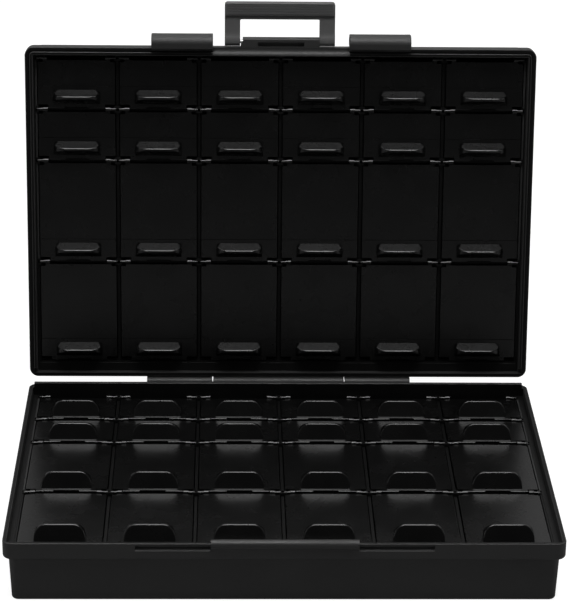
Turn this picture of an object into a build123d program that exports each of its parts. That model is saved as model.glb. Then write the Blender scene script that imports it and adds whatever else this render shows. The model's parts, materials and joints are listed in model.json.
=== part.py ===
"""Two-sided compartment storage box, opened flat back on its rear hinge.

Both halves are shallow trays with the same layout of 24 cells, each under its own small lid with
a finger tab. The origin is the centre of the lower tray's underside, with +X to the right,
-Y to the front and +Z up. Each half is drawn in its own tray frame, with its underside at z = 0
and its rim plane at z = half_height. The upper half is then turned about the main hinge.
"""
from build123d import *
from math import atan, cos, degrees, radians, sin, tan
import os

os.makedirs("parts", exist_ok=True)

# Outer size of one half
width = 232.0
depth = 154.6
half_height = 28.1
corner_radius = 4.0

# Small allowances shared by several features
root = 0.2
cut_overrun = 1.0
face_offset = 0.05
tolerance = 0.01

# The rim flange stands proud of the drafted body
flange_bottom = 20.4
flange_step = 2.0
body_draft = 1.0
bottom_rounding = 1.2
rim_width = 1.8
rim_rounding = 0.4
rim_inner_rounding = 0.25
rear_rim_width = 3.8
ledge_drop = 4.0
ledge_z = half_height - ledge_drop
ledge_step = 0.4
ledge_step_x = 111.7

# Cells: six columns, and four rows that are counted from the +Y edge
pitch = 37.2
cell_columns = [pitch * (i - 2.5) for i in range(6)]
wall_columns = [pitch * i for i in range(-2, 3)]
side_wall_x = 3 * pitch
lid_axis_from_edge = [5.4, 29.2, 53.0, 100.6]
front_line_from_edge = 148.2
wall = 1.3
floor = 1.5
row_wall_z = half_height - 6.05
column_wall_z = half_height - 5.5
first_cell_from_edge = 4.75
cell_rounding = 1.0

# Lid pivots: posts on the walls, and stub pins on the lids
lid_axis_z = half_height - 4.6
post_width = 2.9
post_radius = 1.6
post_bottom = half_height - 8.0
lid_bore_radius = 0.8
lid_pin_radius = 0.75
post_bore_reach = 0.15

# Lids, measured from their pivot axis
lid_width = 35.0
lid_top = 0.54
lid_bottom = -0.66
panel_recess = 0.5
panel_front_from_lip = 10.3
lip_gap = 0.4
lip_half_width = 12.9
lip_corner_cut = 1.9
lip_lower = 0.45
lip_lower_depth = 1.1
lip_lower_inset = 0.4
lip_rounding = 0.45
nail_notch_half_width = 5.3
nail_notch_depth = 0.8
nail_notch_flare = 0.4
slot_half_width = 13.2
slot_start = 1.2
knuckle_width = 2.1
knuckle_radius = 1.15
knuckle_root = 0.3
shoulder_start = 2.1
stub_pin_end = 17.95
snap_half_width = 6.0
snap_drop = 2.4
snap_thickness = 1.0
snap_from_lip = 2.1

# Finger tabs
tab_half_width = 10.65
tab_top = 7.0
tab_corner = 5.2
tab_root_z = 0.1
tab_crest_radius = 0.8
tab_crest_from_lip = 6.0
tab_front_lean = 27.0
tab_rear_lean = 18.0
tab_plan_rear_radius = 3.0
tab_plan_front_radius = 1.4

# Main hinge, behind the rear edge and in the rim plane
hinge_offset = 2.4
barrel_radius = 2.1
hinge_pin_radius = 0.8
hinge_bore_radius = 0.85
knuckle_seam = 30.75
knuckle_gap = 0.25
barrel_end = 61.4
knuckle_web_drop = 4.5
web_clearance = 0.3
open_angle = 98.8
stop_gap = 0.15
stop_thickness = 2.0
stop_reach = 6.5
stop_lead_in = 1.6
stop_rib_thickness = 2.0
stop_rib_foot = 1.5
stop_rib_head_drop = 2.0
hinge_bore_closed_end = 2.4
pin_end_play = 0.2
pin_inset = 0.3
pin_end_rounding = 0.2

# Tongue and groove of the closed box
tongue_height = 2.07
tongue_from_edge = 2.0
tongue_half_length = 113.5
tongue_rounding = 0.5
tongue_root = 1.0
tongue_side_play = 0.3
tongue_top_play = 0.6
ring_height = 0.6
ring_outer_from_edge = 2.1
ring_inner_from_edge = 3.65
ring_groove_width = 0.45
ring_groove_depth = 0.4
ring_rounding = 0.35

# Centre bead and latch catches on the lower front
bead_radius = 2.15
bead_half_length = 30.5
bead_in = 0.85
bead_drop = 0.75
bead_end_play = 0.5
bead_radial_play = 0.3
plate_left = -24.7
plate_right = 25.9
plate_bottom = 21.7
plate_top = 25.6
plate_proud = 0.4
catch_outer = 61.5
catch_cut_from = 0.2
catch_top = 27.5
catch_depth = 1.3
catch_mid = 26.0
catch_bottom = 24.6

# Latches, in (outward from the flange, down from the rim plane) of the upper half
latch_inner = 30.9
latch_outer = 58.7
latch_pin_out = 2.6
latch_pin_down = 5.0
latch_barrel_radius = 2.2
latch_block_radius = 1.6
latch_cheek = 2.4
latch_block_gap = 0.4
latch_web_inset = 0.25
latch_shell = 1.6
latch_face = 6.1
latch_nose_radius = 4.0
latch_back = 0.4
latch_side_rounding = 0.3
latch_nose_up = 1.7
latch_face_end_down = 3.6
hook_reach = 1.0
hook_under = 1.2
hook_tip = 2.0
hook_top = 3.3
latch_hollow_down = 3.4
latch_bore_inset = 0.5
latch_pin_inset = 0.6

# Handle and its bracket
handle_pin_out = 2.4
handle_pin_down = 4.7
bracket_half_width = 17.4
bracket_out = 4.3
bracket_top_down = 1.9
bracket_bottom_down = 6.9
bracket_slot_half_width = 10.5
bracket_slot_depth = 1.6
bracket_slot_out = (0.4, 2.4)
bracket_rounding = 1.0
bracket_foot_end = -18.3
bracket_foot_out = 1.9
handle_shift = -0.6
handle_inner = 18.0
handle_outer = 25.0
handle_barrel_radius = 2.0
handle_above_pin = 0.6
handle_below_pin = 3.6
handle_rounding = 1.2
leg_ramp_out = (4.6, 6.9)
window_end = 12.5
window_corner = 0.6
grip_start = 13.85
grip_end = 20.3
grip_proud = 1.0
grip_corner = 1.4
grip_rounding = 0.9
groove_count = 5
groove_pitch = 1.09
groove_width = 0.35
groove_depth = 0.25
groove_from_side = 1.3
handle_pin_half_length = 23.0

front_y = -depth / 2
rear_y = depth / 2
lid_axis_y = [rear_y - v for v in lid_axis_from_edge]
front_line_y = rear_y - front_line_from_edge
row_lines_y = lid_axis_y + [front_line_y]


def box_between(x, y, z, mode=Mode.ADD):
    """A block between two values on each axis, in the part being built."""
    centre = ((x[0] + x[1]) / 2, (y[0] + y[1]) / 2, (z[0] + z[1]) / 2)
    with Locations(centre):
        Box(x[1] - x[0], y[1] - y[0], z[1] - z[0], mode=mode)


def rod_along_x(x, y, z, radius, mode=Mode.ADD):
    """A round bar between two values of x, in the part being built."""
    with Locations(Location(((x[0] + x[1]) / 2, y, z), (0, 90, 0))):
        Cylinder(radius, x[1] - x[0], mode=mode)


def tray_blank():
    """The moulding that both halves share: body, flange, cells, walls and lid posts."""
    with BuildPart() as tray:
        with BuildSketch():
            RectangleRounded(
                width - 2 * (flange_step + body_draft),
                depth - 2 * (flange_step + body_draft),
                corner_radius - flange_step / 2,
            )
        draft_angle = -degrees(atan(body_draft / ledge_z))
        extrude(amount=ledge_z, taper=draft_angle)
        fillet(tray.faces().sort_by(Axis.Z)[0].edges(), bottom_rounding)
        with BuildSketch(Plane.XY.offset(flange_bottom)):
            RectangleRounded(width, depth, corner_radius)
        extrude(amount=half_height - flange_bottom)
        underside = tray.faces().filter_by_position(
            Axis.Z, flange_bottom - tolerance, flange_bottom + tolerance
        )
        fillet(underside[0].outer_wire().edges(), bottom_rounding)
        fillet(tray.faces().sort_by(Axis.Z)[-1].edges(), rim_rounding)
        opening = (front_line_y, rear_y - rear_rim_width)
        side = side_wall_x - wall / 2
        box_between((-side, side), opening, (row_wall_z, half_height), Mode.SUBTRACT)
        step = (front_line_y - (ledge_step_x - side), rear_y - rear_rim_width)
        box_between(
            (-ledge_step_x, ledge_step_x), step, (ledge_z - ledge_step, half_height), Mode.SUBTRACT
        )
        with BuildSketch(Plane.XY.offset(floor)):
            for row in range(4):
                start = row_lines_y[row] - wall / 2
                if row == 0:
                    start = rear_y - first_cell_from_edge
                end = row_lines_y[row + 1] + wall / 2
                with Locations([(x, (start + end) / 2) for x in cell_columns]):
                    RectangleRounded(pitch - wall, start - end, cell_rounding)
        extrude(amount=row_wall_z - floor, mode=Mode.SUBTRACT)
        for x in wall_columns:
            box_between((x - wall / 2, x + wall / 2), opening, (row_wall_z, column_wall_z))
        for x in wall_columns + [-side_wall_x, side_wall_x]:
            start = max(x - post_width / 2, -side_wall_x)
            end = min(x + post_width / 2, side_wall_x)
            with BuildSketch(Plane.YZ.offset(start)):
                with Locations([(y, lid_axis_z) for y in lid_axis_y]):
                    Circle(post_radius)
                with Locations([(y, (lid_axis_z + post_bottom) / 2) for y in lid_axis_y]):
                    Rectangle(2 * post_radius, lid_axis_z - post_bottom)
            extrude(amount=end - start)
        for y in lid_axis_y:
            reach = side_wall_x + post_bore_reach
            rod_along_x((-reach, reach), y, lid_axis_z, lid_bore_radius, Mode.SUBTRACT)
    return tray.part


def lid_blank(length):
    """A lid with its stub pins and finger tab: pivot axis at the origin, lip towards -Y."""
    lip = -length
    with BuildPart() as lid:
        with BuildSketch(Plane.XY.offset(lid_bottom)):
            with BuildLine():
                half = Polyline(
                    (0, -slot_start),
                    (slot_half_width, -slot_start),
                    (slot_half_width, -knuckle_root),
                    (slot_half_width + knuckle_width, -knuckle_root),
                    (slot_half_width + knuckle_width, -shoulder_start),
                    (lid_width / 2, -shoulder_start),
                    (lid_width / 2, lip + lip_corner_cut),
                    (lip_half_width, lip + lip_corner_cut),
                    (lip_half_width, lip),
                    (nail_notch_half_width + nail_notch_flare, lip),
                    (nail_notch_half_width, lip + nail_notch_depth),
                    (0, lip + nail_notch_depth),
                )
                mirror(half, about=Plane.YZ)
            make_face()
        extrude(amount=lid_top - lid_bottom)
        lip_edges = lid.edges().filter_by(Axis.X).filter_by_position(
            Axis.Y, lip - tolerance, lip + tolerance
        )
        fillet(lip_edges.group_by(Axis.Z)[-1], lip_rounding)
        panel_y = (lip + panel_front_from_lip, 0)
        panel_z = (lid_top - panel_recess, lid_top)
        box_between((-lid_width, lid_width), panel_y, panel_z, Mode.SUBTRACT)
        lower_z = lid_bottom - lip_lower
        box_between(
            (-lip_half_width + lip_lower_inset, lip_half_width - lip_lower_inset),
            (lip + nail_notch_depth, lip + nail_notch_depth + lip_lower_depth),
            (lower_z, lid_bottom),
        )
        snap_y = lip + snap_from_lip
        box_between(
            (-snap_half_width, snap_half_width),
            (snap_y, snap_y + snap_thickness),
            (lid_bottom - snap_drop, lid_bottom),
        )
        for direction in (-1, 1):
            inner = direction * slot_half_width
            outer = direction * (slot_half_width + knuckle_width)
            ends = sorted((inner, outer))
            rod_along_x(ends, 0, 0, knuckle_radius)
            pin = sorted((inner, direction * stub_pin_end))
            rod_along_x(pin, 0, 0, lid_pin_radius)
        add(finger_tab(lip))
    return lid.part


def finger_tab(lip):
    """A D-shaped tab: its front outline, side section and plan outline, intersected."""
    crest_y = lip + tab_crest_from_lip
    crest_z = tab_top - tab_crest_radius
    front = radians(tab_front_lean)
    rear = radians(tab_rear_lean)
    front_y1 = crest_y - tab_crest_radius * cos(front)
    front_z1 = crest_z + tab_crest_radius * sin(front)
    rear_y1 = crest_y + tab_crest_radius * cos(rear)
    rear_z1 = crest_z + tab_crest_radius * sin(rear)
    front_foot = front_y1 - (front_z1 - tab_root_z) * tan(front)
    rear_foot = rear_y1 + (rear_z1 - tab_root_z) * tan(rear)
    with BuildPart() as tab:
        with BuildSketch(Plane.YZ):
            with BuildLine():
                Line((front_foot, tab_root_z), (front_y1, front_z1))
                ThreePointArc((front_y1, front_z1), (crest_y, tab_top), (rear_y1, rear_z1))
                Line((rear_y1, rear_z1), (rear_foot, tab_root_z))
                Line((rear_foot, tab_root_z), (front_foot, tab_root_z))
            make_face()
        extrude(amount=tab_half_width, both=True)
        middle_y = (front_foot + rear_foot) / 2
        with BuildSketch(Plane.XZ.offset(-rear_foot - 1)):
            with Locations((0, (tab_top + tab_root_z) / 2)):
                outline = Rectangle(2 * tab_half_width, tab_top - tab_root_z)
            fillet(outline.vertices().group_by(Axis.Y)[-1], tab_corner)
        extrude(amount=rear_foot - front_foot + 2, mode=Mode.INTERSECT)
        with BuildSketch():
            with Locations((0, middle_y)):
                plan = Rectangle(2 * tab_half_width, rear_foot - front_foot)
            fillet(plan.vertices().group_by(Axis.Y)[-1], tab_plan_rear_radius)
            fillet(plan.vertices().group_by(Axis.Y)[0], tab_plan_front_radius)
        extrude(amount=tab_top, mode=Mode.INTERSECT)
    return tab.part


def hinge_barrel(ends, web_from_y):
    """A stretch of the main hinge's barrel with its web to the flange, in a tray's frame."""
    axis_y = web_from_y + (hinge_offset if web_from_y > 0 else -hinge_offset)
    into_flange = web_from_y - (root if web_from_y > 0 else -root)
    rod_along_x(ends, axis_y, half_height, barrel_radius)
    web_z = (half_height - knuckle_web_drop, half_height - web_clearance)
    box_between(ends, sorted((into_flange, axis_y)), web_z)


def stop_plate(ends):
    """The slanted plate behind the hinge that the opened upper half rests on, with two ribs."""
    tilt = radians(open_angle - 90)
    axis = Vector(0, rear_y + hinge_offset, half_height)
    up = Vector(0, sin(tilt), cos(tilt))
    back = Vector(0, cos(tilt), -sin(tilt))
    top = hinge_offset - stop_gap
    under = top - stop_thickness
    corners = [axis + up * under, axis + up * (barrel_radius - face_offset)]
    corners += [axis + up * top + back * stop_lead_in, axis + up * top + back * stop_reach]
    corners += [axis + up * under + back * stop_reach]
    with BuildSketch(Plane.YZ.offset(ends[0])) as plate:
        with BuildLine():
            Polyline([(p.Y, p.Z) for p in corners], close=True)
        make_face()
    extrude(plate.sketch, amount=ends[1] - ends[0])
    shoulder = axis + up * (under + root) + back * (stop_reach - stop_rib_thickness / 2)
    rib = [(rear_y - root, flange_bottom + stop_rib_foot), (shoulder.Y, shoulder.Z)]
    rib += [(axis.Y, axis.Z - barrel_radius + root), (rear_y - root, half_height - stop_rib_head_drop)]
    for x in (ends[0] + stop_rib_thickness, ends[1] - 2 * stop_rib_thickness):
        with BuildSketch(Plane.YZ.offset(x)) as rib_face:
            with BuildLine():
                Polyline(rib, close=True)
            make_face()
        extrude(rib_face.sketch, amount=stop_rib_thickness)


with BuildPart() as base_tray:
    add(tray_blank())
    side_opening = width / 2 - rim_width
    rear_inner = rear_y - rear_rim_width
    side_x = (-side_opening, side_opening)
    ledge_range = (ledge_z, half_height)
    box_between(side_x, (front_y + rim_width, rear_inner), ledge_range, Mode.SUBTRACT)
    fillet(base_tray.faces().sort_by(Axis.Z)[-1].inner_wires()[0].edges(), rim_inner_rounding)
    tongue_x = (-tongue_half_length, tongue_half_length)
    tongue_y = (rear_inner, rear_y - tongue_from_edge)
    box_between(tongue_x, tongue_y, (half_height - tongue_root, half_height + tongue_height))
    tongue_top = base_tray.faces().sort_by(Axis.Z)[-1].edges().filter_by(Axis.X)
    fillet(tongue_top, tongue_rounding)
    bead_y = front_y + bead_in
    bead_z = half_height - bead_drop
    rod_along_x((-bead_half_length, bead_half_length), bead_y, bead_z, bead_radius)
    plate_y = (front_y - plate_proud, front_y + plate_proud)
    box_between((plate_left, plate_right), plate_y, (plate_bottom, plate_top))
    for ends in ((-catch_outer, -bead_half_length), (bead_half_length, catch_outer)):
        with BuildSketch(Plane.YZ.offset(ends[0])):
            with BuildLine():
                Polyline(
                    (front_y - catch_cut_from, catch_top),
                    (front_y + catch_depth, catch_top),
                    (front_y + catch_depth, catch_mid),
                    (front_y, catch_bottom),
                    (front_y - catch_cut_from, catch_bottom),
                    close=True,
                )
            make_face()
        extrude(amount=ends[1] - ends[0], mode=Mode.SUBTRACT)
    outer_seam = knuckle_seam + knuckle_gap
    for ends in ((-barrel_end, -outer_seam), (outer_seam, barrel_end)):
        hinge_barrel(ends, rear_y)
        stop_plate(ends)
    hinge_y = rear_y + hinge_offset
    hinge_bore = (-barrel_end + hinge_bore_closed_end, barrel_end + cut_overrun)
    rod_along_x(hinge_bore, hinge_y, half_height, hinge_bore_radius, Mode.SUBTRACT)
base_tray.part.label = "base_tray"
export_step(base_tray.part, "parts/base_tray.step")


def latch_frame(out, down):
    """The place of a point of the latches and the handle, in the upper tray's Y and Z."""
    return (rear_y + out, half_height - down)


with BuildPart() as upper_tray:
    add(tray_blank())
    ring_inner_x = width / 2 - ring_inner_from_edge
    ring_inner_y = rear_y - ring_inner_from_edge
    ring_x = (-ring_inner_x, ring_inner_x)
    box_between(ring_x, (front_y + rim_width, ring_inner_y), ledge_range, Mode.SUBTRACT)
    groove_outer = ring_outer_from_edge - ring_groove_width
    ring_end_y = front_y + rear_rim_width + tongue_side_play
    bead_space = bead_half_length + bead_end_play
    for inset, edge, height, mode in (
        (groove_outer, ring_outer_from_edge, -ring_groove_depth, Mode.SUBTRACT),
        (ring_outer_from_edge, ring_inner_from_edge, ring_height, Mode.ADD),
    ):
        inner_size = (width - 2 * edge, depth - 2 * edge)
        with BuildSketch(Plane.XY.offset(half_height)):
            RectangleRounded(width - 2 * inset, depth - 2 * inset, corner_radius - inset)
            if edge == ring_inner_from_edge:
                Rectangle(*inner_size, mode=Mode.SUBTRACT)
            else:
                RectangleRounded(*inner_size, corner_radius - edge, mode=Mode.SUBTRACT)
            with Locations((0, front_y)):
                Rectangle(width, 2 * (ring_end_y - front_y), mode=Mode.SUBTRACT)
            with Locations((0, rear_y)):
                Rectangle(2 * bead_space, 4 * ring_inner_from_edge, mode=Mode.SUBTRACT)
        extrude(amount=height, mode=mode)
    fillet(upper_tray.faces().group_by(Axis.Z)[-1].edges(), ring_rounding)
    tongue_space_end = tongue_half_length + tongue_side_play
    tongue_space_x = (-tongue_space_end, tongue_space_end)
    tongue_space_y = (front_y + rim_width, ring_end_y - face_offset)
    tongue_space_z = (half_height - tongue_height - tongue_top_play, half_height + cut_overrun)
    box_between(tongue_space_x, tongue_space_y, tongue_space_z, Mode.SUBTRACT)
    bead_place = (rear_y - bead_in, half_height + bead_drop)
    rod_along_x((-bead_space, bead_space), *bead_place, bead_radius + bead_radial_play, Mode.SUBTRACT)
    inner_seam = knuckle_seam - knuckle_gap
    hinge_barrel((-inner_seam, inner_seam), front_y)
    upper_bore = (-knuckle_seam - cut_overrun, knuckle_seam + cut_overrun)
    rod_along_x(upper_bore, front_y - hinge_offset, half_height, hinge_bore_radius, Mode.SUBTRACT)
    latch_mid = (latch_inner + latch_outer) / 2
    block_half = (latch_outer - latch_inner) / 2 - latch_cheek - latch_block_gap
    pin_y, pin_z = latch_frame(latch_pin_out, latch_pin_down)
    for mid in (-latch_mid, latch_mid):
        ends = (mid - block_half, mid + block_half)
        rod_along_x(ends, pin_y, pin_z, latch_block_radius)
        web_half = latch_block_radius - latch_web_inset
        box_between(ends, (rear_y - root, pin_y), (pin_z - web_half, pin_z + web_half))
        block_bore = (ends[0] - cut_overrun, ends[1] + cut_overrun)
        rod_along_x(block_bore, pin_y, pin_z, hinge_bore_radius, Mode.SUBTRACT)
    bracket_x = (-bracket_half_width, bracket_half_width)
    bracket_z = (half_height - bracket_bottom_down, half_height - bracket_top_down)
    box_between(bracket_x, (rear_y - root, rear_y + bracket_out), bracket_z)
    bracket_edges = upper_tray.edges().filter_by(Axis.X).filter_by_position(
        Axis.Y, rear_y + bracket_out - tolerance, rear_y + bracket_out + tolerance
    )
    fillet(bracket_edges, bracket_rounding)
    foot_x = (bracket_foot_end, -bracket_half_width)
    box_between(foot_x, (rear_y - root, rear_y + bracket_foot_out), bracket_z)
    slot_x = (-bracket_slot_half_width, bracket_slot_half_width)
    slot_z = (bracket_z[1] - bracket_slot_depth, bracket_z[1])
    slot_y = [rear_y + out for out in bracket_slot_out]
    box_between(slot_x, slot_y, slot_z, Mode.SUBTRACT)
    handle_y, handle_z = latch_frame(handle_pin_out, handle_pin_down)
    bore_half = bracket_half_width + cut_overrun
    rod_along_x((-bore_half, bore_half), handle_y, handle_z, hinge_bore_radius, Mode.SUBTRACT)

with BuildPart() as handle:
    leg_z = handle_z + handle_above_pin
    grip_z = leg_z + grip_proud
    handle_under = handle_z - handle_below_pin
    window_y = rear_y + window_end
    grip_y = (rear_y + grip_start, rear_y + grip_end)
    with BuildSketch(Plane.XY.offset(handle_under)):
        with Locations((0, (handle_y + grip_y[1]) / 2)):
            outline = Rectangle(2 * handle_outer, grip_y[1] - handle_y)
        fillet(outline.vertices().group_by(Axis.Y)[-1], grip_corner)
        with Locations((0, window_y / 2)):
            RectangleRounded(2 * handle_inner, window_y, window_corner, mode=Mode.SUBTRACT)
    extrude(amount=grip_z - handle_under)
    legs = (-handle_outer, handle_outer)
    box_between(legs, (handle_y, grip_y[0]), (leg_z, grip_z), Mode.SUBTRACT)
    fillet(handle.edges().group_by(Axis.Z)[-1], grip_rounding)
    under = handle.edges().group_by(Axis.Z)[0]
    fillet(under.filter_by(lambda edge: edge.center().Y > handle_y + root), handle_rounding)
    ramp = [rear_y + out for out in leg_ramp_out]
    front_z = handle_z + handle_barrel_radius
    for ends in ((-handle_outer, -handle_inner), (handle_inner, handle_outer)):
        rod_along_x(ends, handle_y, handle_z, handle_barrel_radius)
        with BuildSketch(Plane.YZ.offset(ends[0])) as ramp_face:
            with BuildLine():
                Polyline(
                    (handle_y, handle_z), (handle_y, front_z), (ramp[0], front_z), (ramp[1], leg_z),
                    (ramp[1], handle_z), close=True,
                )
            make_face()
        extrude(amount=ends[1] - ends[0])
    bore = handle_pin_half_length - handle_shift + pin_end_play
    rod_along_x((-bore, bore), handle_y, handle_z, hinge_bore_radius, Mode.SUBTRACT)
    first_groove = (grip_y[0] + grip_y[1] - (groove_count - 1) * groove_pitch) / 2
    groove_x = (groove_from_side - handle_outer, handle_outer - groove_from_side)
    for i in range(groove_count):
        y = first_groove + i * groove_pitch
        groove_y = (y - groove_width / 2, y + groove_width / 2)
        box_between(groove_x, groove_y, (grip_z - groove_depth, grip_z), Mode.SUBTRACT)


def latch_outline():
    """The latch's end outline: hook, nose, outer face and pivot barrel."""
    at = latch_frame
    nose_out = latch_face - latch_nose_radius
    nose_down = nose_out - latch_nose_up
    half_arc = latch_nose_radius * sin(radians(45))
    Polyline(
        at(latch_back, latch_pin_down),
        at(latch_back, -hook_under),
        at(-hook_reach, -hook_under),
        at(-hook_reach, -hook_tip),
        at(0, -hook_top),
        at(nose_out, nose_down - latch_nose_radius),
    )
    ThreePointArc(
        at(nose_out, nose_down - latch_nose_radius),
        at(nose_out + half_arc, nose_down - half_arc),
        at(latch_face, nose_down),
    )
    barrel_front = latch_pin_out + latch_barrel_radius
    Polyline(
        at(latch_face, nose_down),
        at(latch_face, latch_face_end_down),
        at(barrel_front, latch_pin_down),
    )
    ThreePointArc(
        at(barrel_front, latch_pin_down),
        at(latch_pin_out, latch_pin_down + latch_barrel_radius),
        at(latch_back, latch_pin_down),
    )


def latch_hollow():
    """The room inside the latch, open towards the tray and around the block on the pin."""
    inside = latch_face - latch_shell
    beyond = latch_face + cut_overrun
    below = latch_pin_down + latch_barrel_radius + cut_overrun
    points = [(-0.1, -1.1), (1.0, -1.1), (1.6, -1.9), (3.2, -1.9), (inside, -0.2)]
    points += [(inside, latch_hollow_down), (beyond, latch_hollow_down), (beyond, below), (-0.1, below)]
    Polyline([latch_frame(*point) for point in points], close=True)


with BuildPart() as latch:
    with BuildSketch(Plane.YZ.offset(latch_inner)):
        with BuildLine():
            latch_outline()
        make_face()
    extrude(amount=latch_outer - latch_inner)
    latch_sides = latch.faces().sort_by(Axis.X)
    fillet(latch_sides[0].edges() + latch_sides[-1].edges(), latch_side_rounding)
    hollow_ends = (latch_inner + latch_cheek, latch_outer - latch_cheek)
    with BuildSketch(Plane.YZ.offset(hollow_ends[0])):
        with BuildLine():
            latch_hollow()
        make_face()
    extrude(amount=hollow_ends[1] - hollow_ends[0], mode=Mode.SUBTRACT)
    latch_bore = (latch_inner + latch_bore_inset, latch_outer - latch_bore_inset)
    rod_along_x(latch_bore, pin_y, pin_z, hinge_bore_radius, Mode.SUBTRACT)

axis_place = Location((0, rear_y + hinge_offset, half_height))
upper_turn = Location((0, 0, 0), (180 - open_angle, 0, 0))
upper_place = axis_place * upper_turn * Location((0, -front_y + hinge_offset, -half_height))


def save(piece, name):
    """Names a finished piece and writes it."""
    piece.label = name
    export_step(piece, f"parts/{name}.step")


def pin_along_x(ends, y, z, radius):
    """A loose steel pin, lying along X."""
    with BuildPart() as pin:
        rod_along_x(ends, y, z, radius)
        fillet(pin.edges(), pin_end_rounding)
    return pin.part


save(upper_place * upper_tray.part, "upper_tray")
save(upper_place * Location((handle_shift, 0, 0)) * handle.part, "handle")
save(upper_place * latch.part, "latch_right")
save(upper_place * mirror(latch.part, about=Plane.YZ), "latch_left")
hinge_pin_start = -barrel_end + hinge_bore_closed_end + pin_end_play
hinge_pin_ends = (hinge_pin_start, barrel_end - pin_inset)
save(pin_along_x(hinge_pin_ends, hinge_y, half_height, hinge_pin_radius), "hinge_pin")
handle_pin_ends = (-handle_pin_half_length, handle_pin_half_length)
save(upper_place * pin_along_x(handle_pin_ends, handle_y, handle_z, hinge_pin_radius), "handle_pin")
latch_pin_ends = (latch_inner + latch_pin_inset, latch_outer - latch_pin_inset)
latch_pin = pin_along_x(latch_pin_ends, pin_y, pin_z, hinge_pin_radius)
save(upper_place * latch_pin, "latch_pin_right")
save(upper_place * mirror(latch_pin, about=Plane.YZ), "latch_pin_left")

short_lid = lid_blank(lid_axis_from_edge[1] - lid_axis_from_edge[0] - lip_gap)
long_lid = lid_blank(lid_axis_from_edge[3] - lid_axis_from_edge[2] - lip_gap)
row_lids = [short_lid, short_lid, long_lid, long_lid]
for half_name, half_place in (("base", Location()), ("upper", upper_place)):
    for row, y in enumerate(lid_axis_y):
        for column, x in enumerate(cell_columns):
            lid_place = half_place * Location((x, y, lid_axis_z))
            save(lid_place * row_lids[row], f"{half_name}_lid_row{row + 1}_column{column + 1}")
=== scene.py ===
"""Looks of the opened two-sided compartment box, built around its solids.

Every plastic solid gets a skin: its own surface with the flat faces joined, and on the lids with
the finger tabs' edges rounded. The skins carry procedural black plastics, and the pins steel.
All lengths are in metres unless a name says otherwise.
"""
import json
from math import cos, pi, radians, sin

import bmesh
import bpy
from mathutils import Matrix, Vector

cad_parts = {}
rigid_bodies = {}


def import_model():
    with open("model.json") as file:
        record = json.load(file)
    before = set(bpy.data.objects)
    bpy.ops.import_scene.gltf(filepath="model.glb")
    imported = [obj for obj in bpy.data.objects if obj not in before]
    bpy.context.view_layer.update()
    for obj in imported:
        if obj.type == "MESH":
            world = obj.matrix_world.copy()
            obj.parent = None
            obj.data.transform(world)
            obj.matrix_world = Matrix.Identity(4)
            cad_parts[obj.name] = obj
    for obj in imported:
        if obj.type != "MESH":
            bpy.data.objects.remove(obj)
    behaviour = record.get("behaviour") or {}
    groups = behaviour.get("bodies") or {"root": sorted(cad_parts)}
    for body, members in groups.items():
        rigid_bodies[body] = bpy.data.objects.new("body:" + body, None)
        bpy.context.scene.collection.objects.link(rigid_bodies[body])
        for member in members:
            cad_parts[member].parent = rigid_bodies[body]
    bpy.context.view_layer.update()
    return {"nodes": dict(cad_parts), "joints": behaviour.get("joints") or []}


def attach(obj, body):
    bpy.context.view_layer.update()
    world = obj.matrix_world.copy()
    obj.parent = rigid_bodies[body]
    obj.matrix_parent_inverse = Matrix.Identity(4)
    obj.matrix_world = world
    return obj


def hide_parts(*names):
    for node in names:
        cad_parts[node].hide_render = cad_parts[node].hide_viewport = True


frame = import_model()
MM = 0.001

# The main hinge, read from the frame. The hinge line lies in the lower half's rim plane.
joints = {joint["name"]: joint for joint in frame["joints"]}
hinge = joints["main_hinge"]
HINGE_AXIS = Vector(hinge["pos_m"])
OPEN_ANGLE = radians(-hinge["range_deg"][0])
RIM_Z = HINGE_AXIS.z

# The upper half is laid out like the lower one, with its hinge line along the front edge. That
# line is brought to the origin, the half is turned over about it, and it is set on the hinge.
UPPER_TURN = Matrix.Rotation(pi - OPEN_ANGLE, 4, "X")
UPPER_PLACE = (
    Matrix.Translation(HINGE_AXIS)
    @ UPPER_TURN
    @ Matrix.Translation((0, HINGE_AXIS.y, -RIM_Z))
)

# Joining of flat faces, and the angle from which an edge is sharp
WELD = 0.002 * MM
FLAT_ANGLE = radians(0.6)
EDGE_ANGLE = radians(32)

# Lids: faces from this area up are shaded flat, and a finger tab's edges are those above the
# lid's top face and away from its hinge knuckles
PLANE_FACE_AREA = 12 * MM**2
TAB_EDGE = 0.4 * MM
TAB_EDGE_SEGMENTS = 3
TAB_FROM = 0.75 * MM
KNUCKLE_REACH = 2 * MM

# Inside of a tray, within its rim ledges: a finer grain, and a darker grey that is painted shade; the
# rest of a tray is grained
INSIDE_HALF_WIDTH = 111.4 * MM
INSIDE_Y = (-71.6 * MM, 73.6 * MM)
INSIDE_BOTTOM = 1.4 * MM


def joined_mesh(name, source, round_test):
    """A copy of a solid's mesh with its flat faces joined.

    With a round_test, the edges that pass it get a bevel weight, and large faces stay flat.
    """
    mesh = bpy.data.meshes.new(name)
    work = bmesh.new()
    work.from_mesh(source)
    bmesh.ops.remove_doubles(work, verts=work.verts, dist=WELD)
    bmesh.ops.dissolve_limit(work, angle_limit=FLAT_ANGLE, verts=work.verts, edges=work.edges)
    work.normal_update()
    weight = work.edges.layers.float.new("bevel_weight_edge")
    for face in work.faces:
        face.smooth = round_test is None or face.calc_area() < PLANE_FACE_AREA
        face.material_index = 0
    for edge in work.edges:
        if edge.calc_face_angle(0) < EDGE_ANGLE:
            continue
        if round_test is not None and round_test(edge):
            edge[weight] = 1.0
        else:
            edge.smooth = False
    work.to_mesh(mesh)
    work.free()
    return mesh


def round_edges(piece):
    """Rounds the edges that have a bevel weight."""
    edges = piece.modifiers.new("rounded_tab_edges", "BEVEL")
    edges.limit_method = "WEIGHT"
    edges.width = TAB_EDGE
    edges.segments = TAB_EDGE_SEGMENTS
    edges.use_clamp_overlap = False
    edges.loop_slide = False


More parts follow.
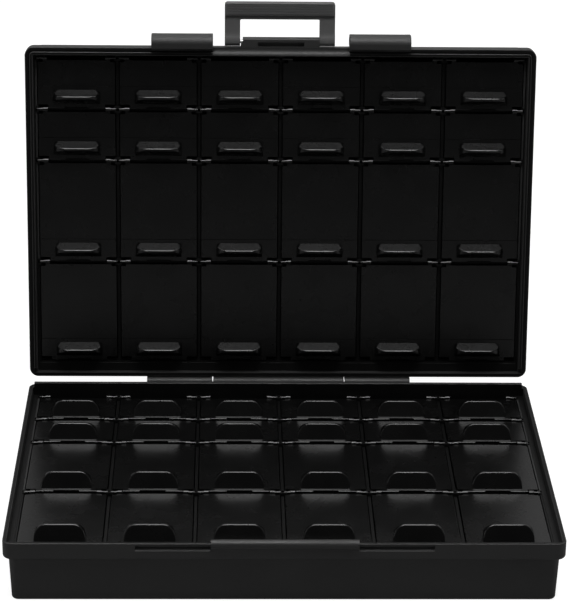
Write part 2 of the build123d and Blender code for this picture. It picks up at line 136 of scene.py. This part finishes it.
def skin(node, body, materials, pick=None, round_test=None):
    """Replaces a solid by a skin of its own surface.

    pick gives the number of a face's material, and round_test tells which edges are rounded.
    """
    mesh = joined_mesh(node + "_skin", frame["nodes"][node].data, round_test)
    mesh.materials.clear()
    for material in materials:
        mesh.materials.append(material)
    if pick is not None:
        for polygon in mesh.polygons:
            polygon.material_index = pick(polygon)
    piece = bpy.data.objects.new(node + "_skin", mesh)
    bpy.context.scene.collection.objects.link(piece)
    if round_test is not None:
        round_edges(piece)
    normals = piece.modifiers.new("face_weighted_normals", "WEIGHTED_NORMAL")
    normals.keep_sharp = True
    triangles = piece.modifiers.new("triangles", "TRIANGULATE")
    triangles.keep_custom_normals = True
    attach(piece, body)
    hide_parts(node)


# Noise: where most of its values lie, and how strong its finer octaves are in gloss and grain
NOISE_RANGE = (0.3, 0.7)
NOISE_ROUGHNESS = 0.6

# Moulded plastic: cell size and octaves of its uneven gloss, its slow waves and its grain
GLOSS_CELL = 14 * MM
GLOSS_DETAIL = 3.0
WAVE_CELL = 16 * MM
WAVE_DETAIL = 1.0
GRAIN_DETAIL = 2.0

# Drawn steel wire: its grey, its roughness without and with streaks, and the streaks' noise
STEEL_GREY = 0.55
STEEL_EVEN_ROUGHNESS = 0.35
STEEL_ROUGHNESS = (0.28, 0.45)
STEEL_CELL = 0.8 * MM
STEEL_DETAIL = 2.0


def new_material(name, grey, roughness, specular=0.5):
    """A grey principled material of even gloss, with its node tree ready for detail."""
    material = bpy.data.materials.new(name)
    material.use_nodes = True
    tree = material.node_tree
    shader = tree.nodes["Principled BSDF"]
    shader.inputs["Base Color"].default_value = (grey, grey, grey, 1)
    shader.inputs["Roughness"].default_value = roughness
    shader.inputs["Specular IOR Level"].default_value = specular
    return material, tree, shader


def object_place(tree):
    """Object coordinates."""
    coordinates = tree.nodes.new("ShaderNodeTexCoord")
    return coordinates.outputs["Object"]


def noise(tree, place, cell, detail, roughness=0.5):
    """A noise texture with cells of the given size."""
    texture = tree.nodes.new("ShaderNodeTexNoise")
    texture.inputs["Scale"].default_value = 1 / cell
    texture.inputs["Detail"].default_value = detail
    texture.inputs["Roughness"].default_value = roughness
    tree.links.new(place, texture.inputs["Vector"])
    return texture.outputs["Fac"]


def remap(tree, value, taken, given):
    """Maps a value from one (low, high) range to another, clamped."""
    ramp = tree.nodes.new("ShaderNodeMapRange")
    ramp.inputs["From Min"].default_value = taken[0]
    ramp.inputs["From Max"].default_value = taken[1]
    ramp.inputs["To Min"].default_value = given[0]
    ramp.inputs["To Max"].default_value = given[1]
    tree.links.new(value, ramp.inputs["Value"])
    return ramp.outputs["Result"]


def bump(tree, height, depth, below=None):
    """A bump at full strength, on top of another one where below is given."""
    node = tree.nodes.new("ShaderNodeBump")
    node.inputs["Distance"].default_value = depth
    node.inputs["Strength"].default_value = 1.0
    tree.links.new(height, node.inputs["Height"])
    if below is not None:
        tree.links.new(below, node.inputs["Normal"])
    return node.outputs["Normal"]


def black_plastic(name, grey, roughness, grain, grain_depth, wave_depth, specular=0.5):
    """Moulded black plastic: a fine spark-eroded grain, slow waviness and uneven gloss."""
    material, tree, shader = new_material(name, grey, max(roughness), specular)
    place = object_place(tree)
    gloss = noise(tree, place, GLOSS_CELL, GLOSS_DETAIL, NOISE_ROUGHNESS)
    tree.links.new(remap(tree, gloss, NOISE_RANGE, roughness), shader.inputs["Roughness"])
    waves = noise(tree, place, WAVE_CELL, WAVE_DETAIL)
    wavy = bump(tree, waves, wave_depth)
    grains = noise(tree, place, grain, GRAIN_DETAIL, NOISE_ROUGHNESS)
    tree.links.new(bump(tree, grains, grain_depth, wavy), shader.inputs["Normal"])
    return material


def steel(name):
    """Drawn steel wire with an uneven gloss."""
    material, tree, shader = new_material(name, STEEL_GREY, STEEL_EVEN_ROUGHNESS)
    shader.inputs["Metallic"].default_value = 1.0
    streaks = noise(tree, object_place(tree), STEEL_CELL, STEEL_DETAIL)
    tree.links.new(remap(tree, streaks, NOISE_RANGE, STEEL_ROUGHNESS), shader.inputs["Roughness"])
    return material


body_plastic = black_plastic(
    "black_grained_plastic",
    grey=0.012,
    roughness=(0.50, 0.60),
    grain=0.35 * MM,
    grain_depth=0.012 * MM,
    wave_depth=0.05 * MM,
)
# The tray's inside: its finer grain is real; its darker grey and weaker reflection are painted shade
# between and under the lids
inner_plastic_with_painted_shade = black_plastic(
    "black_inner_plastic_with_painted_shade",
    grey=0.0015,
    roughness=(0.42, 0.52),
    grain=0.5 * MM,
    grain_depth=0.004 * MM,
    wave_depth=0.05 * MM,
    specular=0.2,
)
lid_plastic = black_plastic(
    "black_lid_plastic",
    grey=0.0012,
    roughness=(0.24, 0.29),
    grain=0.5 * MM,
    grain_depth=0.002 * MM,
    wave_depth=0.05 * MM,
)
handle_plastic = black_plastic(
    "black_handle_plastic",
    grey=0.06,
    roughness=(0.50, 0.60),
    grain=0.3 * MM,
    grain_depth=0.012 * MM,
    wave_depth=0.03 * MM,
)
pin_steel = steel("pin_steel_wire")


def inside_test(place):
    """Gives 1 for a face in the inside of the tray at this place, which is painted darker as shade, and
    0 for any other.
    """
    back = place.inverted()

    def inside(polygon):
        centre = back @ polygon.center
        within = abs(centre.x) < INSIDE_HALF_WIDTH and INSIDE_Y[0] < centre.y < INSIDE_Y[1]
        return int(within and centre.z > INSIDE_BOTTOM)

    return inside


def tray_skins():
    """The two tray mouldings: grained outside, finer grained and painted darker as shade inside."""
    plastics = [body_plastic, inner_plastic_with_painted_shade]
    for node, body, place in (("base_tray", "base", Matrix()), ("upper_tray", "upper", UPPER_PLACE)):
        skin(node, body, plastics, pick=inside_test(place))


def tab_test(place):
    """True for an edge of the finger tab of the lid at this place."""
    back = place.inverted()

    def on_tab(edge):
        corners = [back @ vertex.co for vertex in edge.verts]
        return all(corner.z > TAB_FROM and abs(corner.y) > KNUCKLE_REACH for corner in corners)

    return on_tab


def lid_skins():
    """The 48 lids. A lid's place comes from its joint: the pivot axis, in its own tray's frame."""
    for name, joint in joints.items():
        if not name.endswith("_lift"):
            continue
        node = joint["child"]
        place = Matrix.Translation(Vector(joint["pos_m"]))
        if joint["parent"] == "upper":
            place = place @ UPPER_TURN
        skin(node, node, [lid_plastic], round_test=tab_test(place))


def fitting_skins():
    """Handle, latches and pins."""
    skin("handle", "handle", [handle_plastic])
    for node in ("latch_left", "latch_right"):
        skin(node, node, [body_plastic])
    for node in ("hinge_pin", "handle_pin", "latch_pin_left", "latch_pin_right"):
        frame["nodes"][node].data.materials.clear()
        frame["nodes"][node].data.materials.append(pin_steel)


# Camera, fitted to the photograph
CAMERA_TARGET = Vector((0.338, 0.0, 103.274)) * MM
CAMERA_DISTANCE = 1046.9 * MM
CAMERA_AZIMUTH = radians(1.447)
CAMERA_ELEVATION = radians(23.125)
CAMERA_ROLL = radians(-0.754)
CAMERA_LENS_MM = 146.85
SENSOR_MM = 36.0
CLIP_NEAR = 0.01
CLIP_FAR = 20.0


def photo_camera():
    """The camera of the photograph, with its small roll."""
    data = bpy.data.cameras.new("photo_camera")
    data.lens = CAMERA_LENS_MM
    data.sensor_width = SENSOR_MM
    data.clip_start = CLIP_NEAR
    data.clip_end = CLIP_FAR
    camera = bpy.data.objects.new("photo_camera", data)
    bpy.context.scene.collection.objects.link(camera)
    level = cos(CAMERA_ELEVATION)
    forward = Vector((sin(CAMERA_AZIMUTH) * level, cos(CAMERA_AZIMUTH) * level, -sin(CAMERA_ELEVATION)))
    side = Vector((cos(CAMERA_AZIMUTH), -sin(CAMERA_AZIMUTH), 0))
    down = forward.cross(side)
    right = side * cos(CAMERA_ROLL) + down * sin(CAMERA_ROLL)
    up = -(down * cos(CAMERA_ROLL) - side * sin(CAMERA_ROLL))
    camera.matrix_world = Matrix((
        (right.x, up.x, -forward.x, 0),
        (right.y, up.y, -forward.y, 0),
        (right.z, up.z, -forward.z, 0),
        (0, 0, 0, 1),
    ))
    camera.location = CAMERA_TARGET - forward * CAMERA_DISTANCE
    bpy.context.scene.camera = camera


# Soft boxes overhead, behind and at both sides, and the points that they face
TOP_BOX_PLACE = (0.0, -0.22, 1.10)
TOP_BOX_SIZE = (0.62, 0.36)
TOP_BOX_WATTS = 10.0
REAR_BOX_PLACE = (0.0, 0.62, 0.98)
REAR_BOX_SIZE = (0.9, 0.4)
REAR_BOX_WATTS = 2.5
HIGH_BOX_TARGET = (0.0, 0.0, 0.05)
SIDE_BOX_PLACE = (1.2, -0.45, 0.6)
SIDE_BOX_SIZE = (0.5, 0.7)
SIDE_BOX_WATTS = 2.5
SIDE_BOX_TARGET = (0.0, 0.0, 0.08)

# Light of the room in front of the box and behind it, and the Y of a direction where it is full
ROOM_FRONT = 0.04
ROOM_BACK = 0.5
ROOM_BACK_FROM = 0.7

# A floor just below the box, which glows for the camera only
FLOOR_WIDTH = 8.0
FLOOR_DROP = 0.02 * MM
FLOOR_GREY = 0.3
FLOOR_GLOW = 0.88


def area_light(name, place, target, size, power):
    """A rectangular soft box that faces target."""
    data = bpy.data.lights.new(name, "AREA")
    data.shape = "RECTANGLE"
    data.size, data.size_y = size
    data.energy = power
    light = bpy.data.objects.new(name, data)
    bpy.context.scene.collection.objects.link(light)
    light.location = place
    direction = Vector(target) - Vector(place)
    light.rotation_mode = "QUATERNION"
    light.rotation_quaternion = direction.to_track_quat("-Z", "Y")


def soft_boxes():
    """All four soft boxes."""
    area_light("top_box", TOP_BOX_PLACE, HIGH_BOX_TARGET, TOP_BOX_SIZE, TOP_BOX_WATTS)
    area_light("rear_box", REAR_BOX_PLACE, HIGH_BOX_TARGET, REAR_BOX_SIZE, REAR_BOX_WATTS)
    for name, sign in (("left_box", -1), ("right_box", 1)):
        place = (sign * SIDE_BOX_PLACE[0], *SIDE_BOX_PLACE[1:])
        area_light(name, place, SIDE_BOX_TARGET, SIDE_BOX_SIZE, SIDE_BOX_WATTS)


def empty_tree(owner):
    """The node tree of a world or material, without its first nodes."""
    owner.use_nodes = True
    owner.node_tree.nodes.clear()
    return owner.node_tree


def camera_ray(tree):
    """1 for what the camera sees, and 0 for light and reflections."""
    path = tree.nodes.new("ShaderNodeLightPath")
    return path.outputs["Is Camera Ray"]


def pale_room():
    """White for the camera; for everything else dim in front of the box and bright behind it."""
    world = bpy.data.worlds.new("pale_room")
    bpy.context.scene.world = world
    tree = empty_tree(world)
    output = tree.nodes.new("ShaderNodeOutputWorld")
    seen = tree.nodes.new("ShaderNodeBackground")
    seen.inputs["Color"].default_value = (1, 1, 1, 1)
    lit = tree.nodes.new("ShaderNodeBackground")
    mix = tree.nodes.new("ShaderNodeMixShader")
    direction = tree.nodes.new("ShaderNodeTexCoord")
    split = tree.nodes.new("ShaderNodeSeparateXYZ")
    tree.links.new(direction.outputs["Generated"], split.inputs["Vector"])
    level = remap(tree, split.outputs["Y"], (0.0, ROOM_BACK_FROM), (ROOM_FRONT, ROOM_BACK))
    tree.links.new(level, lit.inputs["Strength"])
    tree.links.new(camera_ray(tree), mix.inputs["Fac"])
    tree.links.new(lit.outputs[0], mix.inputs[1])
    tree.links.new(seen.outputs[0], mix.inputs[2])
    tree.links.new(mix.outputs[0], output.inputs["Surface"])


def floor_material():
    """Grey for the light, and nearly white for the camera where nothing shades it."""
    material = bpy.data.materials.new("pale_floor")
    tree = empty_tree(material)
    output = tree.nodes.new("ShaderNodeOutputMaterial")
    diffuse = tree.nodes.new("ShaderNodeBsdfDiffuse")
    diffuse.inputs["Color"].default_value = (FLOOR_GREY, FLOOR_GREY, FLOOR_GREY, 1)
    glow = tree.nodes.new("ShaderNodeEmission")
    add = tree.nodes.new("ShaderNodeAddShader")
    strength = remap(tree, camera_ray(tree), (0, 1), (0, FLOOR_GLOW))
    tree.links.new(strength, glow.inputs["Strength"])
    tree.links.new(diffuse.outputs[0], add.inputs[0])
    tree.links.new(glow.outputs[0], add.inputs[1])
    tree.links.new(add.outputs[0], output.inputs["Surface"])
    return material


def pale_floor():
    """A large plain floor."""
    bpy.ops.mesh.primitive_plane_add(size=FLOOR_WIDTH, location=(0, 0, -FLOOR_DROP))
    floor = bpy.context.object
    floor.name = "floor"
    floor.data.materials.append(floor_material())


tray_skins()
lid_skins()
fitting_skins()
photo_camera()
soft_boxes()
pale_room()
pale_floor()
bpy.context.scene.view_settings.view_transform = "Standard"
